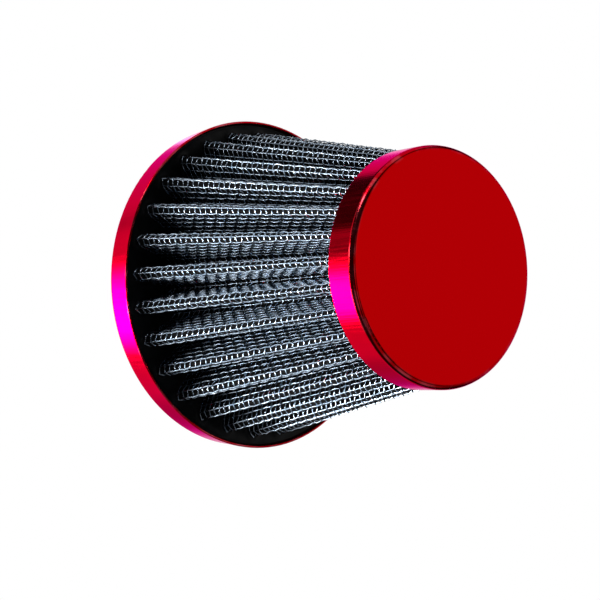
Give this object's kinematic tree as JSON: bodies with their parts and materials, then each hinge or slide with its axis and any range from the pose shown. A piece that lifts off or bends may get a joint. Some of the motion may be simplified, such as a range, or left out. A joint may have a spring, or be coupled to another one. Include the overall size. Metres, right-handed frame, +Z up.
{
  "type": "clamp-on air filter",
  "caption": "Tapered clamp-on pod air filter: pleated woven-wire and gauze element between a red base ring and a red end cap, with a rubber inlet neck and a worm-drive clamp.",
  "frame": {"origin": "centre of the inlet neck's mouth", "axes": "+Y out of the neck's mouth along the filter's axis, towards the carburettor; the end cap faces -Y; +Z up, through the clamp's screw housing"},
  "size_m": [0.0784, 0.0899, 0.0784],
  "materials": {
    "red_anodised": "red anodised, satin to glossy",
    "black_rubber": "moulded, matt",
    "black_compound": "cast potting compound, smooth and matt",
    "wire_mesh": "bright drawn wire, plain weave",
    "black_gauze": "oiled cotton gauze",
    "zinc_strip": "zinc plated",
    "stainless_strip": "rolled stainless steel",
    "plated_screw": "bright zinc plated"
  },
  "bodies": {
    "filter": {"base_ring": "red_anodised", "base_flange": "black_rubber", "inlet_neck": "black_rubber", "base_potting": "black_compound", "outer_mesh": "wire_mesh", "gauze_ply_1": "black_gauze", "gauze_ply_2": "black_gauze", "gauze_ply_3": "black_gauze", "gauze_ply_4": "black_gauze", "inner_mesh": "wire_mesh", "seam_clip": "zinc_strip", "cap_potting": "black_compound", "end_cap": "red_anodised"},
    "clamp": {"clamp_band": "stainless_strip", "clamp_housing": "stainless_strip", "clamp_saddle": "stainless_strip"},
    "screw": {"clamp_screw": "plated_screw"},
    "band_tail": {"clamp_band_tail": "stainless_strip"}
  },
  "joints": [
    {"name": "clamp_turn", "type": "hinge", "parent": "filter", "child": "clamp", "pos_m": [0, -0.009, 0], "axis": [0, 1, 0], "continuous": true},
    {"name": "screw_turn", "type": "hinge", "parent": "clamp", "child": "screw", "pos_m": [0, -0.009, 0.02725], "axis": [1, 0, 0], "range_deg": [-1800, 720]},
    {"name": "band_slide", "type": "hinge", "parent": "clamp", "child": "band_tail", "pos_m": [0, -0.009, 0], "axis": [0, -1, 0], "range_deg": [-30, 12]}
  ],
  "couplings": [
    {"joint": "band_slide", "follows": "screw_turn", "ratio": 0.016579}
  ]
}
